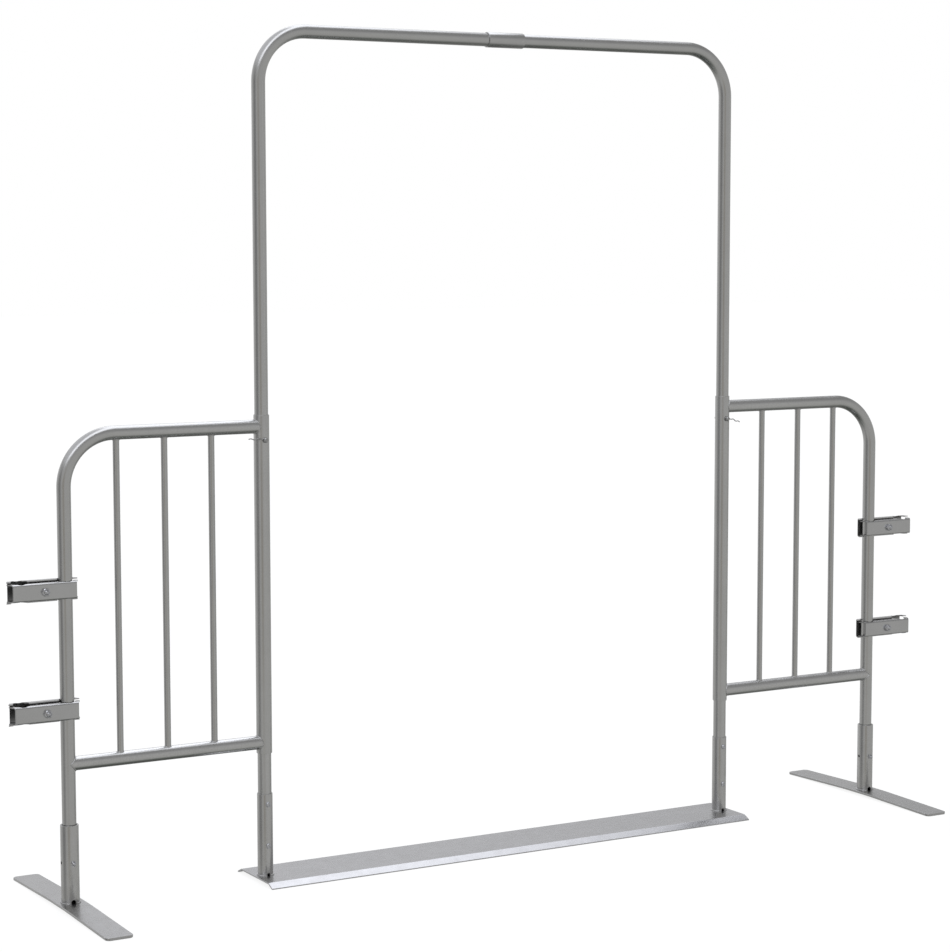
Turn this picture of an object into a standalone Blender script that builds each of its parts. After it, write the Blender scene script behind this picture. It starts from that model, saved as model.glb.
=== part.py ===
"""Walk-through gateway section of a steel crowd control barrier, in metres and +Z up.

X runs along the line of barriers, Y is the direction people walk through, and Z = 0 is the ground.
The origin is the centre of the doorway.
"""

import math

import bmesh
import bpy
from mathutils import Vector

# Frame layout
LEG_X = 0.6695                  # doorway centre to each arch leg's axis
POST_X = 1.1660                 # doorway centre to each outer post's axis
ARCH_Z = 2.0250                 # height of the arch bar's axis
TOP_RAIL_Z = 1.0960
BOTTOM_RAIL_Z = 0.3365
BEND_RADIUS = 0.1215            # centreline radius of every corner bend
BEND_STEPS = 8
BAR_FIRST = 0.1285              # outer post's axis to the nearest vertical bar
BAR_PITCH = 0.1190
BAR_COUNT = 3

# Tubes
TUBE_RADIUS = 0.0164
TUBE_WALL = 0.0020
SLEEVE_RADIUS = 0.0187
SLEEVE_WALL = 0.0019
BAR_RADIUS = 0.00765
TUBE_SEGMENTS = 20
BAR_SEGMENTS = 14
JOINT_GAP = 0.0003              # clearance at a welded or sliding joint
COPE_GAP = 0.0006               # clearance at a tube or bar end shaped to the tube it meets
SLEEVE_BOTTOM_Z = 0.3106
SLEEVE_TOP_Z = 1.1238
COUPLER_HALF = 0.0510
TUBE_FOOT_Z = 0.0300            # lower end of each leg and post inside its socket

# Threshold plate
PLATE_HALF_X = 0.6980
PLATE_FLAT_Y = 0.0775
PLATE_LIP_Y = 0.0980
PLATE_TOP_Z = 0.0122
PLATE_SHEET = 0.0035
PLATE_EDGE = 0.0026             # height of the upright cut edge along each lip
BASE_SOCKET_TOP_Z = 0.2120

# Feet
FOOT_HALF_X = 0.0330
FOOT_HALF_Y = 0.3060
FOOT_FLAT_Y = 0.0400            # half length of the raised flat under the socket
FOOT_SHEET = 0.0060
FOOT_TOP_Z = 0.0122
FOOT_CORNER = 0.0110
FOOT_SOCKET_RADIUS = 0.0213
FOOT_SOCKET_WALL = 0.0035
FOOT_SOCKET_TOP_Z = 0.1951

# Fasteners: (shank radius, half the width across flats, nut height, head height)
SMALL_BOLT = (0.0032, 0.0056, 0.0050, 0.0042)
LARGE_BOLT = (0.0050, 0.0085, 0.0080, 0.0064)
HOLE_EASE = 0.0004              # radial clearance of a bolt in its hole
BUTTON_RADIUS = 0.0064
BUTTON_HEIGHT = 0.0040
BASE_BOLT_REACH = 0.0075        # how far each bolt stands past the face its nut bears on
FOOT_BOLT_REACH = 0.0105
BRACKET_BOLT_REACH = 0.0115
CUT_HALF_LENGTH = 0.0300        # half length of a drill that passes right through a tube
NOTCH_HALF_LENGTH = 0.0080      # half length of one that opens the near wall only
BASE_BOLT_Z = (0.0860, 0.1870)
FOOT_BOLT_Z = 0.1075
BASE_NOTCH = (0.0038, 0.0034)   # drain notch: radius, and centre above the plate it opens on
FOOT_NOTCH = (0.0058, 0.0038)

# Lock pins
PIN_Z = 1.0645
PIN_RADIUS = 0.0045
PIN_HOLE = 0.0049
PIN_TIP_Y = 0.0310
COLLAR_RADIUS = 0.0064
COLLAR_Y = -0.0191              # face of the collar that rests on the sleeve
COLLAR_THICK = 0.0028
NECK_RADIUS = 0.0030
NECK_LENGTH = 0.0040            # groove that the wire handle turns in
HEAD_RADIUS = 0.0052
WIRE_RADIUS = 0.0012
WIRE_LOOP_RADIUS = 0.0048
WIRE_REACH = 0.0430             # pin axis to the end of the wire handle
WIRE_WAVE = 0.0013
WIRE_WAVE_LENGTH = 0.0190
WIRE_SET_BACK = 0.0034          # how far the wire's end curves back towards the sleeve
WIRE_DROOP = {"left": 0.0, "right": 18.0}    # resting angle of each wire handle, degrees

# Linking brackets, with x measured outwards from the outer post's axis
BRACKET_Z = {"left": (0.4625, 0.7423), "right": (0.4642, 0.7440)}
BRACKET_FRONT_HALF_Z = 0.0205
BRACKET_BACK_HALF_Z = 0.0251    # taller, so that the front channel fits between its flanges
BRACKET_WEB_Y = 0.0212
BRACKET_SHEET = 0.0025
BRACKET_BEND = 0.0060           # outer radius of the channel's bends
BRACKET_BEND_STEPS = 2
BRACKET_WEB_X = (-0.0200, 0.1300)
BRACKET_LIP_X = (-0.0300, 0.1400)
BRACKET_LIP_Y = 0.0010
BRACKET_HOLE_X = 0.1100
BRACKET_HOLE_RADIUS = 0.0190
BRACKET_ARC_STEPS = 8

X_AXIS = Vector((1.0, 0.0, 0.0))
Y_AXIS = Vector((0.0, 1.0, 0.0))
Z_AXIS = Vector((0.0, 0.0, 1.0))
SIDES = (("left", -1.0), ("right", 1.0))


def clear_scene():
    for obj in list(bpy.data.objects):
        bpy.data.objects.remove(obj, do_unlink=True)


def steel(name, shade, roughness):
    """A plain galvanised steel for one sub-part."""
    material = bpy.data.materials.new("steel_" + name)
    material.use_nodes = True
    shader = material.node_tree.nodes["Principled BSDF"]
    shader.inputs["Base Color"].default_value = (shade, shade, shade * 0.99, 1.0)
    shader.inputs["Metallic"].default_value = 1.0
    shader.inputs["Roughness"].default_value = roughness
    return material


def make_object(name, points, faces, shade=0.45, roughness=0.42, origin=None):
    """One closed body, with its normals outwards and its round faces smooth."""
    origin = origin or Vector((0.0, 0.0, 0.0))
    mesh = bpy.data.meshes.new(name)
    mesh.from_pydata([tuple(Vector(p) - origin) for p in points], [], faces)
    shell = bmesh.new()
    shell.from_mesh(mesh)
    bmesh.ops.recalc_face_normals(shell, faces=shell.faces)
    shell.to_mesh(mesh)
    shell.free()
    mesh.shade_smooth()
    mesh.set_sharp_from_angle(angle=math.radians(35.0))
    mesh.materials.append(steel(name, shade, roughness))
    obj = bpy.data.objects.new(name, mesh)
    obj.location = origin
    bpy.context.scene.collection.objects.link(obj)
    return obj


def ring(centre, normal, side, radius, segments):
    """Points round a circle in the plane of normal and side."""
    turn = 2.0 * math.pi / segments
    return [
        centre + radius * (math.cos(turn * i) * side + math.sin(turn * i) * normal)
        for i in range(segments)
    ]


def loop_faces(first, second, segments):
    """Quads between two rings of vertex numbers."""
    return [
        (first + i, first + (i + 1) % segments, second + (i + 1) % segments, second + i)
        for i in range(segments)
    ]


def cope(post_x, radius, towards):
    """Moves a point of a horizontal tube's end along X onto a vertical cylinder about post_x."""
    def moved(point):
        reach = math.sqrt(max(radius * radius - point.y * point.y, 0.0))
        return Vector((post_x - towards * reach, point.y, point.z))
    return moved


def tube(name, stations, radius, wall, start=None, end=None, segments=TUBE_SEGMENTS):
    """A hollow tube through stations of (centre, tangent) in a plane of constant Y."""
    points = []
    for tube_radius in (radius, radius - wall):
        for index, (centre, tangent) in enumerate(stations):
            circle = ring(centre, tangent.cross(Y_AXIS), Y_AXIS, tube_radius, segments)
            if index == 0 and start:
                circle = [start(p) for p in circle]
            if index == len(stations) - 1 and end:
                circle = [end(p) for p in circle]
            points.extend(circle)
    count = len(stations)
    inner = count * segments
    faces = []
    for index in range(count - 1):
        faces += loop_faces(index * segments, (index + 1) * segments, segments)
        faces += loop_faces(inner + index * segments, inner + (index + 1) * segments, segments)
    faces += loop_faces(0, inner, segments)
    last = (count - 1) * segments
    faces += loop_faces(last, inner + last, segments)
    return make_object(name, points, faces)


def upright(name, x, bottom, top, radius, wall):
    stations = [(Vector((x, 0.0, z)), Z_AXIS) for z in (bottom, top)]
    return tube(name, stations, radius, wall)


def bent_path(x, bottom, top, inwards, end_x):
    """Up from (x, bottom), round one corner, then along X at height top as far as end_x."""
    stations = [(Vector((x, 0.0, bottom)), Z_AXIS.copy())]
    centre = Vector((x + inwards * BEND_RADIUS, 0.0, top - BEND_RADIUS))
    for step in range(BEND_STEPS + 1):
        angle = 0.5 * math.pi * step / BEND_STEPS
        out = Vector((-inwards * math.cos(angle), 0.0, math.sin(angle)))
        along = Vector((inwards * math.sin(angle), 0.0, math.cos(angle)))
        stations.append((centre + BEND_RADIUS * out, along))
    stations.append((Vector((end_x, 0.0, top)), X_AXIS * inwards))
    return stations


def revolved(name, centre, profile, segments=12, shade=0.5, roughness=0.35):
    """A solid of revolution about Y. The profile is (radius, y) pairs, from axis to axis."""
    points = []
    rows = []
    for radius, y in profile:
        middle = centre + Y_AXIS * y
        rows.append((len(points), radius == 0.0))
        points += [middle] if radius == 0.0 else ring(middle, Z_AXIS, X_AXIS, radius, segments)
    faces = []
    for (first, first_tip), (second, second_tip) in zip(rows, rows[1:]):
        for i in range(segments):
            j = (i + 1) % segments
            if first_tip:
                faces.append((first, second + i, second + j))
            elif second_tip:
                faces.append((first + i, first + j, second))
            else:
                faces.append((first + i, first + j, second + j, second + i))
    return make_object(name, points, faces, shade, roughness, centre)


def lofted(name, sections, shade=0.45, roughness=0.42):
    """A closed body through sections that hold the same number of points."""
    size = len(sections[0])
    points = [p for section in sections for p in section]
    faces = [tuple(range(size))]
    for index in range(len(sections) - 1):
        faces += loop_faces(index * size, (index + 1) * size, size)
    faces.append(tuple(range((len(sections) - 1) * size, len(sections) * size)))
    return make_object(name, points, faces, shade, roughness)


def cutter(name, points, faces):
    obj = make_object(name, points, faces)
    obj.hide_render = True
    obj.display_type = "WIRE"
    return obj


def drill(name, centre, axis, radius, half_length=CUT_HALF_LENGTH, segments=10):
    """A cylindrical cutter about centre."""
    side = Z_AXIS if abs(axis.z) < 0.5 else X_AXIS
    normal = axis.cross(side)
    points = ring(centre - half_length * axis, normal, side, radius, segments)
    points += ring(centre + half_length * axis, normal, side, radius, segments)
    faces = [tuple(range(segments)), tuple(range(segments, 2 * segments))]
    faces += loop_faces(0, segments, segments)
    return cutter(name, points, faces)


def cut(obj, tool, operation="DIFFERENCE"):
    modifier = obj.modifiers.new("cut_" + tool.name, "BOOLEAN")
    modifier.operation = operation
    modifier.solver = "EXACT"
    modifier.object = tool


def button_bolt(name, x, z, front_y, back_y, size):
    """A domed bolt with a socket recess. Its head bears on front_y and its shank passes back_y."""
    shank = size[0]
    head = front_y - JOINT_GAP
    end = back_y + BASE_BOLT_REACH
    profile = [
        (0.0, head - 0.0012),
        (0.0022, head - 0.0012),
        (0.0022, head - BUTTON_HEIGHT),
        (0.60 * BUTTON_RADIUS, head - 0.94 * BUTTON_HEIGHT),
        (0.88 * BUTTON_RADIUS, head - 0.62 * BUTTON_HEIGHT),
        (BUTTON_RADIUS, head - 0.14 * BUTTON_HEIGHT),
        (BUTTON_RADIUS, head),
        (shank, head),
        (shank, end - 0.0008),
        (shank - 0.0008, end),
        (0.0, end),
    ]
    return revolved(name, Vector((x, 0.0, z)), profile, 10)


def hexagon(radius_at_flat, samples):
    """Radii of a hexagon at equal angles, starting at a corner."""
    radii = []
    for i in range(samples):
        angle = 2.0 * math.pi * i / samples
        from_flat = (angle % (math.pi / 3.0)) - math.pi / 6.0
        radii.append(radius_at_flat / math.cos(from_flat))
    return radii


def hex_bolt(name, x, z, head_y, end_y, size):
    """A hexagon bolt whose head bears at head_y and whose end stands at end_y, nearer the front."""
    shank, flat, _, height = size
    samples = 12
    head = head_y + JOINT_GAP
    corners = hexagon(flat, samples)
    rims = (
        ([0.93 * flat] * samples, head + height),
        (corners, head + height - 0.0009),
        (corners, head),
        ([shank] * samples, head),
        ([shank] * samples, end_y + 0.0008),
        ([shank - 0.0008] * samples, end_y),
    )
    points = []
    for radii, y in rims:
        for i, radius in enumerate(radii):
            angle = 2.0 * math.pi * i / samples
            points.append(Vector((x + radius * math.cos(angle), y, z + radius * math.sin(angle))))
    faces = [tuple(range(samples)), tuple(range((len(rims) - 1) * samples, len(rims) * samples))]
    for row in range(len(rims) - 1):
        faces += loop_faces(row * samples, (row + 1) * samples, samples)
    return make_object(name, points, faces, 0.5, 0.35, Vector((x, head, z)))


def hex_nut(name, x, z, near_y, outwards, size):
    """A hexagon nut that bears at near_y and faces outwards along Y."""
    shank, flat, height, _ = size
    samples = 12
    bore = (shank + JOINT_GAP) / math.cos(math.pi / samples)
    near = near_y + outwards * JOINT_GAP
    corners = hexagon(flat, samples)
    rims = (
        (corners, near),
        (corners, near + outwards * (height - 0.0009)),
        ([0.93 * flat] * samples, near + outwards * height),
        ([bore] * samples, near + outwards * height),
        ([bore] * samples, near),
    )
    points = []
    for radii, y in rims:
        for i, radius in enumerate(radii):
            angle = 2.0 * math.pi * i / samples
            points.append(Vector((x + radius * math.cos(angle), y, z + radius * math.sin(angle))))
    faces = []
    for row in range(len(rims)):
        faces += loop_faces(row * samples, ((row + 1) % len(rims)) * samples, samples)
    return make_object(name, points, faces, 0.5, 0.35, Vector((x, near, z)))


def threshold_plate():
    """A thin sheet across the doorway whose long edges fold down to the ground as ramps."""
    rise = PLATE_TOP_Z
    run = PLATE_LIP_Y - PLATE_FLAT_Y
    slope = math.atan2(rise - PLATE_EDGE, run)
    inner_flat = PLATE_FLAT_Y - PLATE_SHEET * math.tan(0.5 * slope)
    inner_lip = PLATE_LIP_Y + PLATE_EDGE / math.tan(slope) - PLATE_SHEET / math.sin(slope)
    outline = [
        (-PLATE_LIP_Y, 0.0),
        (-PLATE_LIP_Y, PLATE_EDGE),
        (-PLATE_FLAT_Y, rise),
        (PLATE_FLAT_Y, rise),
        (PLATE_LIP_Y, PLATE_EDGE),
        (PLATE_LIP_Y, 0.0),
        (inner_lip, 0.0),
        (inner_flat, rise - PLATE_SHEET),
        (-inner_flat, rise - PLATE_SHEET),
        (-inner_lip, 0.0),
    ]
    ends = (-PLATE_HALF_X, PLATE_HALF_X)
    lofted("threshold_plate", [[Vector((x, y, z)) for y, z in outline] for x in ends], 0.5, 0.38)


def base_socket(side, x):
    """The upright stub on the threshold plate for an arch leg, with two bolts and a drain notch."""
    bottom = PLATE_TOP_Z + JOINT_GAP
    name = f"base_socket_{side}"
    socket = upright(name, x, bottom, BASE_SOCKET_TOP_Z, SLEEVE_RADIUS, SLEEVE_WALL)
    notch = Vector((x, -SLEEVE_RADIUS, PLATE_TOP_Z + BASE_NOTCH[1]))
    drain = drill(f"cut_base_notch_{side}", notch, Y_AXIS, BASE_NOTCH[0], NOTCH_HALF_LENGTH)
    cut(socket, drain)
    holes = []
    for level, z in zip(("lower", "upper"), BASE_BOLT_Z):
        radius = SMALL_BOLT[0] + HOLE_EASE
        hole = drill(f"cut_base_bolt_{level}_{side}", Vector((x, 0.0, z)), Y_AXIS, radius)
        cut(socket, hole)
        holes.append(hole)
        button_bolt(f"base_bolt_{level}_{side}", x, z, -SLEEVE_RADIUS, SLEEVE_RADIUS, SMALL_BOLT)
        hex_nut(f"base_nut_{level}_{side}", x, z, SLEEVE_RADIUS, 1.0, SMALL_BOLT)
    return holes


def arch_half(side, sign, holes):
    """A leg, a large corner bend and half of the top bar, bent from one tube."""
    path = bent_path(sign * LEG_X, TUBE_FOOT_Z, ARCH_Z, -sign, sign * 0.0005)
    half = tube(f"arch_{side}", path, TUBE_RADIUS, TUBE_WALL)
    for hole in holes:
        cut(half, hole)


def arch_coupler():
    stations = [(Vector((x, 0.0, ARCH_Z)), X_AXIS) for x in (-COUPLER_HALF, COUPLER_HALF)]
    tube("arch_coupler", stations, SLEEVE_RADIUS, SLEEVE_WALL)


def side_panel(side, sign, pin_hole, foot_hole):
    """Outer post and top rail in one bent tube, the sleeve, the bottom rail and the bars."""
    post_x = sign * POST_X
    leg_x = sign * LEG_X
    at_sleeve = cope(leg_x, SLEEVE_RADIUS + COPE_GAP, -sign)
    at_post = cope(post_x, TUBE_RADIUS + COPE_GAP, sign)
    path = bent_path(post_x, TUBE_FOOT_Z, TOP_RAIL_Z, -sign, leg_x)
    frame = tube(f"panel_frame_{side}", path, TUBE_RADIUS, TUBE_WALL, end=at_sleeve)
    cut(frame, foot_hole)
    name = f"panel_sleeve_{side}"
    sleeve = upright(name, leg_x, SLEEVE_BOTTOM_Z, SLEEVE_TOP_Z, SLEEVE_RADIUS, SLEEVE_WALL)
    cut(sleeve, pin_hole)
    rail = [(Vector((x, 0.0, BOTTOM_RAIL_Z)), X_AXIS) for x in (post_x, leg_x)]
    tube(f"bottom_rail_{side}", rail, TUBE_RADIUS, TUBE_WALL, start=at_post, end=at_sleeve)
    for index in range(BAR_COUNT):
        panel_bar(f"panel_bar_{side}_{index + 1}", post_x - sign * (BAR_FIRST + BAR_PITCH * index))


def panel_bar(name, x):
    """A solid round bar between the rails, each end shaped to the rail that it meets."""
    reach = TUBE_RADIUS + COPE_GAP
    points = []
    faces = []
    for rail_z, way in ((BOTTOM_RAIL_Z, 1.0), (TOP_RAIL_Z, -1.0)):
        for i in range(BAR_SEGMENTS):
            angle = 2.0 * math.pi * i / BAR_SEGMENTS
            y = BAR_RADIUS * math.sin(angle)
            z = rail_z + way * math.sqrt(reach * reach - y * y)
            points.append(Vector((x + BAR_RADIUS * math.cos(angle), y, z)))
    for rail_z, way, first in ((BOTTOM_RAIL_Z, 1.0, 0), (TOP_RAIL_Z, -1.0, BAR_SEGMENTS)):
        tip = len(points)
        points.append(Vector((x, 0.0, rail_z + way * reach)))
        faces += [(first + i, first + (i + 1) % BAR_SEGMENTS, tip) for i in range(BAR_SEGMENTS)]
    faces += loop_faces(0, BAR_SEGMENTS, BAR_SEGMENTS)
    make_object(name, points, faces)


def foot(side, sign):
    """A long bowed plate with an upright socket, bolted to the outer post."""
    x = sign * POST_X
    half = [(FOOT_FLAT_Y, FOOT_TOP_Z, FOOT_HALF_X)]
    for back, narrow in ((1.0, 0.0), (0.3, 0.3), (0.0, 1.0)):
        y = FOOT_HALF_Y - back * FOOT_CORNER
        share = (y - FOOT_FLAT_Y) / (FOOT_HALF_Y - FOOT_FLAT_Y)
        top = FOOT_TOP_Z + share * (FOOT_SHEET - FOOT_TOP_Z)
        half.append((y, top, FOOT_HALF_X - narrow * FOOT_CORNER))
    stations = [(-y, z, w) for y, z, w in reversed(half)] + half
    sections = [
        [
            Vector((x - w, y, z - FOOT_SHEET)),
            Vector((x + w, y, z - FOOT_SHEET)),
            Vector((x + w, y, z)),
            Vector((x - w, y, z)),
        ]
        for y, z, w in stations
    ]
    lofted(f"foot_plate_{side}", sections)
    bottom = FOOT_TOP_Z + JOINT_GAP
    name = f"foot_socket_{side}"
    socket = upright(name, x, bottom, FOOT_SOCKET_TOP_Z, FOOT_SOCKET_RADIUS, FOOT_SOCKET_WALL)
    centre = Vector((x, 0.0, FOOT_BOLT_Z))
    radius = SMALL_BOLT[0] + HOLE_EASE
    hole = drill(f"cut_foot_bolt_{side}", centre, Y_AXIS, radius)
    cut(socket, hole)
    cut(socket, drill(f"cut_foot_spare_{side}", centre, X_AXIS, radius))
    notch = Vector((x, -FOOT_SOCKET_RADIUS, FOOT_TOP_Z + FOOT_NOTCH[1]))
    drain = drill(f"cut_foot_notch_{side}", notch, Y_AXIS, FOOT_NOTCH[0], NOTCH_HALF_LENGTH)
    cut(socket, drain)
    end = -FOOT_SOCKET_RADIUS - FOOT_BOLT_REACH
    hex_bolt(f"foot_bolt_{side}", x, FOOT_BOLT_Z, FOOT_SOCKET_RADIUS, end, SMALL_BOLT)
    hex_nut(f"foot_nut_{side}", x, FOOT_BOLT_Z, -FOOT_SOCKET_RADIUS, -1.0, SMALL_BOLT)
    return hole


def lock_pin(side, x):
    """A headed pin through the sleeve and the arch leg."""
    neck = COLLAR_Y - COLLAR_THICK
    head = neck - NECK_LENGTH
    profile = [
        (0.0, PIN_TIP_Y),
        (0.0022, PIN_TIP_Y),
        (PIN_RADIUS, PIN_TIP_Y - 0.0040),
        (PIN_RADIUS, COLLAR_Y),
        (COLLAR_RADIUS, COLLAR_Y),
        (COLLAR_RADIUS, neck),
        (NECK_RADIUS, neck),
        (NECK_RADIUS, head),
        (HEAD_RADIUS, head),
        (HEAD_RADIUS, head - 0.0012),
        (0.0040, head - 0.0024),
        (0.0, head - 0.0024),
    ]
    revolved(f"lock_pin_{side}", Vector((x, 0.0, PIN_Z)), profile)


def lock_handle(side, x, way):
    """A wire looped round the pin's neck whose free arm runs out sideways in shallow waves."""
    loop_y = COLLAR_Y - COLLAR_THICK - 0.5 * NECK_LENGTH
    path = []
    for step in range(10):
        angle = math.radians(-180.0 + 30.0 * step)
        path.append((-WIRE_LOOP_RADIUS * math.cos(angle), 0.0, WIRE_LOOP_RADIUS * math.sin(angle)))
    steps = 14
    for step in range(1, steps + 1):
        along = WIRE_REACH * step / steps
        wave = WIRE_WAVE * (math.cos(2.0 * math.pi * along / WIRE_WAVE_LENGTH) - 1.0)
        path.append((along, WIRE_SET_BACK * (along / WIRE_REACH) ** 2, WIRE_LOOP_RADIUS + wave))
    lean = math.radians(WIRE_DROOP[side])
    line = []
    for along, back, up in path:
        out = along * math.cos(lean) + up * math.sin(lean)
        rise = up * math.cos(lean) - along * math.sin(lean)
        line.append(Vector((x + way * out, loop_y + back, PIN_Z + rise)))
    segments = 6
    points = []
    for index, centre in enumerate(line):
        ahead = line[min(index + 1, len(line) - 1)]
        behind = line[max(index - 1, 0)]
        tangent = (ahead - behind).normalized()
        side_axis = (Y_AXIS - tangent * tangent.y).normalized()
        points += ring(centre, tangent.cross(side_axis), side_axis, WIRE_RADIUS, segments)
    faces = [tuple(range(segments)), tuple(range((len(line) - 1) * segments, len(line) * segments))]
    for index in range(len(line) - 1):
        faces += loop_faces(index * segments, (index + 1) * segments, segments)
    make_object(f"lock_handle_{side}", points, faces, 0.5, 0.35, Vector((x, loop_y, PIN_Z)))


def channel_profile(way, half_z):
    """Section of a bent channel: web outwards along way, flanges towards the centre plane."""
    outer = []
    inner = []
    for level in (1.0, -1.0):
        turn = []
        for step in range(BRACKET_BEND_STEPS + 1):
            angle = 0.5 * math.pi * step / BRACKET_BEND_STEPS
            turn.append((math.sin(angle), math.cos(angle)))
        if level < 0.0:
            turn.reverse()
        for radius, points in ((BRACKET_BEND, outer), (BRACKET_BEND - BRACKET_SHEET, inner)):
            lip = (way * 0.0002, level * (half_z - BRACKET_BEND + radius))
            arc = [
                (
                    way * (BRACKET_WEB_Y - BRACKET_BEND + radius * out),
                    level * (half_z - BRACKET_BEND + radius * rise),
                )
                for out, rise in turn
            ]
            points += [lip] + arc if level > 0.0 else arc + [lip]
    return outer + inner[::-1]


def bracket_plan(sign, way):
    """Plan of one bracket half, with a half-round notch for each of the two posts."""
    beyond = BRACKET_WEB_Y + 0.001
    outline = [(BRACKET_WEB_X[0], beyond), (BRACKET_WEB_X[1], beyond)]
    outline.append((BRACKET_LIP_X[1], BRACKET_LIP_Y))
    start = math.asin(BRACKET_LIP_Y / BRACKET_HOLE_RADIUS)
    for centre in (BRACKET_HOLE_X, 0.0):
        for step in range(BRACKET_ARC_STEPS + 1):
            angle = start + (math.pi - 2.0 * start) * step / BRACKET_ARC_STEPS
            across = BRACKET_HOLE_RADIUS * math.sin(angle)
            outline.append((centre + BRACKET_HOLE_RADIUS * math.cos(angle), across))
    outline.append((BRACKET_LIP_X[0], BRACKET_LIP_Y))
    return [(sign * (POST_X + u), way * v) for u, v in outline]


def bracket_half(name, z, sign, way, half_z, hole):
    """A bent channel trimmed to its plan, then drilled for the clamping bolt."""
    profile = channel_profile(way, half_z)
    ends = (sign * (POST_X + BRACKET_LIP_X[0]), sign * (POST_X + BRACKET_LIP_X[1]))
    body = lofted(name, [[Vector((x, y, z + h)) for y, h in profile] for x in ends], 0.48, 0.36)
    plan = bracket_plan(sign, way)
    beyond = half_z + 0.01
    levels = [[Vector((x, y, z + h)) for x, y in plan] for h in (-beyond, beyond)]
    points = levels[0] + levels[1]
    size = len(plan)
    faces = [tuple(range(size)), tuple(range(size, 2 * size))] + loop_faces(0, size, size)
    cut(body, cutter("cut_" + name, points, faces), "INTERSECT")
    cut(body, hole)


def bracket(level, z, side, sign):
    """Two facing channel halves round the outer post, drawn together by one bolt."""
    name = f"{level}_{side}"
    x = sign * (POST_X + 0.5 * BRACKET_HOLE_X)
    radius = LARGE_BOLT[0] + HOLE_EASE
    hole = drill(f"cut_bracket_bolt_{name}", Vector((x, 0.0, z)), Y_AXIS, radius)
    bracket_half(f"bracket_front_{name}", z, sign, -1.0, BRACKET_FRONT_HALF_Z, hole)
    bracket_half(f"bracket_back_{name}", z, sign, 1.0, BRACKET_BACK_HALF_Z, hole)
    end = -BRACKET_WEB_Y - BRACKET_BOLT_REACH
    hex_bolt(f"bracket_bolt_{name}", x, z, BRACKET_WEB_Y, end, LARGE_BOLT)
    hex_nut(f"bracket_nut_{name}", x, z, -BRACKET_WEB_Y, -1.0, LARGE_BOLT)


def build():
    clear_scene()
    threshold_plate()
    arch_coupler()
    for side, sign in SIDES:
        leg_x = sign * LEG_X
        holes = base_socket(side, leg_x)
        pin_hole = drill(f"cut_lock_pin_{side}", Vector((leg_x, 0.0, PIN_Z)), Y_AXIS, PIN_HOLE)
        arch_half(side, sign, holes + [pin_hole])
        foot_hole = foot(side, sign)
        side_panel(side, sign, pin_hole, foot_hole)
        lock_pin(side, leg_x)
        lock_handle(side, leg_x, sign)
        for level, z in zip(("lower", "upper"), BRACKET_Z[side]):
            bracket(level, z, side, sign)


build()
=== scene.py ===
"""Studio view of a walk-through crowd barrier gateway in galvanised steel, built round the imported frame."""

import math

import bmesh
import bpy
from mathutils import Matrix, Vector, noise

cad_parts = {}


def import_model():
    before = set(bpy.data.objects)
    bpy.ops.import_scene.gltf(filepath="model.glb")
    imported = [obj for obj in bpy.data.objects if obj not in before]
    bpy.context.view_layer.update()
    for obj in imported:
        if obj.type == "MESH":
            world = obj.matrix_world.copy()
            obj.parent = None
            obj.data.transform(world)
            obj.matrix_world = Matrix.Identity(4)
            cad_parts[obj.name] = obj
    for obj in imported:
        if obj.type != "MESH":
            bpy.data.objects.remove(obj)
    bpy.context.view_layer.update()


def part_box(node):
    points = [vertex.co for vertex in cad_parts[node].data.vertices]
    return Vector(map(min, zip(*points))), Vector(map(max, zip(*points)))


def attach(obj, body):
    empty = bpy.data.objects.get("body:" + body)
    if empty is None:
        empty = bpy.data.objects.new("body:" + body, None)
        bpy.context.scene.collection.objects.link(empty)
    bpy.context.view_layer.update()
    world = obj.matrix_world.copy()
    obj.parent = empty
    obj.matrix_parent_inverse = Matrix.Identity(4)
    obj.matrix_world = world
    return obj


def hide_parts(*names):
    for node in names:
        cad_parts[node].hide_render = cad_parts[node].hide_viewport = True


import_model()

X_AXIS = Vector((1.0, 0.0, 0.0))
Y_AXIS = Vector((0.0, 1.0, 0.0))
Z_AXIS = Vector((0.0, 0.0, 1.0))
SIDES = (("left", -1.0), ("right", 1.0))
LEVELS = ("lower", "upper")
FRAME_BODY = "frame"

# Measures read from the frame
ARCH_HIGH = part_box("arch_right")[1]
PANEL_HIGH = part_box("panel_frame_right")[1]
RAIL_LOW, RAIL_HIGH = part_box("bottom_rail_right")
TUBE_RADIUS = ARCH_HIGH.y
LEG_X = ARCH_HIGH.x - TUBE_RADIUS
ARCH_Z = ARCH_HIGH.z - TUBE_RADIUS
POST_X = PANEL_HIGH.x - TUBE_RADIUS
TOP_RAIL_Z = PANEL_HIGH.z - TUBE_RADIUS
BOTTOM_RAIL_Z = 0.5 * (RAIL_LOW.z + RAIL_HIGH.z)
SLEEVE_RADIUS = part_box("panel_sleeve_right")[1].y
PLATE_TOP_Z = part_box("threshold_plate")[1].z
FOOT_TOP_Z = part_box("foot_plate_right")[1].z

# Measures that the boxes don't give, as in the frame's own design
TUBE_WALL = 0.0020
SLEEVE_WALL = 0.0019
FOOT_SOCKET_WALL = 0.0035
BEND_RADIUS = 0.1215
BEND_STEPS = 40
PLATE_FLAT_Y = 0.0775
PLATE_SHEET = 0.0035
PLATE_EDGE = 0.0026
PLATE_FOLD = 0.0050
FOOT_SHEET = 0.0060
FOOT_FLAT_Y = 0.0400
FOOT_CORNER = 0.0110
FOOT_BOLT_Z = 0.1075
BASE_NOTCH = (0.0038, 0.0034)
FOOT_NOTCH = (0.0058, 0.0038)
BRACKET_WEB_Y = 0.0212
BRACKET_SHEET = 0.0025
BRACKET_BEND = 0.0060
BRACKET_WEB_X = (-0.0200, 0.1300)
BRACKET_LIP_X = (-0.0300, 0.1400)
BRACKET_LIP_Y = 0.0010
BRACKET_HOLE_X = 0.1100
BRACKET_HOLE_RADIUS = 0.0190
SMALL_SHANK = 0.0032
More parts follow.
